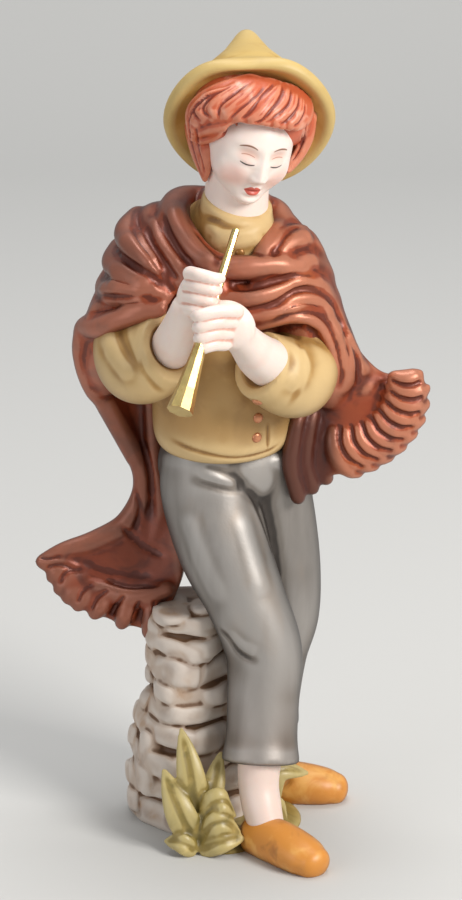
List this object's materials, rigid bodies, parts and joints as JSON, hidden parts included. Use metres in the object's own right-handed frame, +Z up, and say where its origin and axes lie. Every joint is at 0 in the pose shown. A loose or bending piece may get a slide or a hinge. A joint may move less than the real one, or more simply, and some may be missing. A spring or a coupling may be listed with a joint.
{
  "type": "porcelain figurine",
  "caption": "Standing porcelain nativity figurine of a shepherd musician in a flying shawl, with a metal pipe held in both hands.",
  "frame": {"origin": "on the ground under the middle of the figurine's outline", "axes": "+Z up, from the floor to the hat; the figure faces -Y; +X to its left"},
  "size_m": [0.1021, 0.0837, 0.2105],
  "materials": {
    "bisque": null,
    "pipe_metal": "polished gold-coloured metal"
  },
  "bodies": {
    "root": {"figurine": "bisque", "pipe": "pipe_metal"}
  },
  "joints": []
}
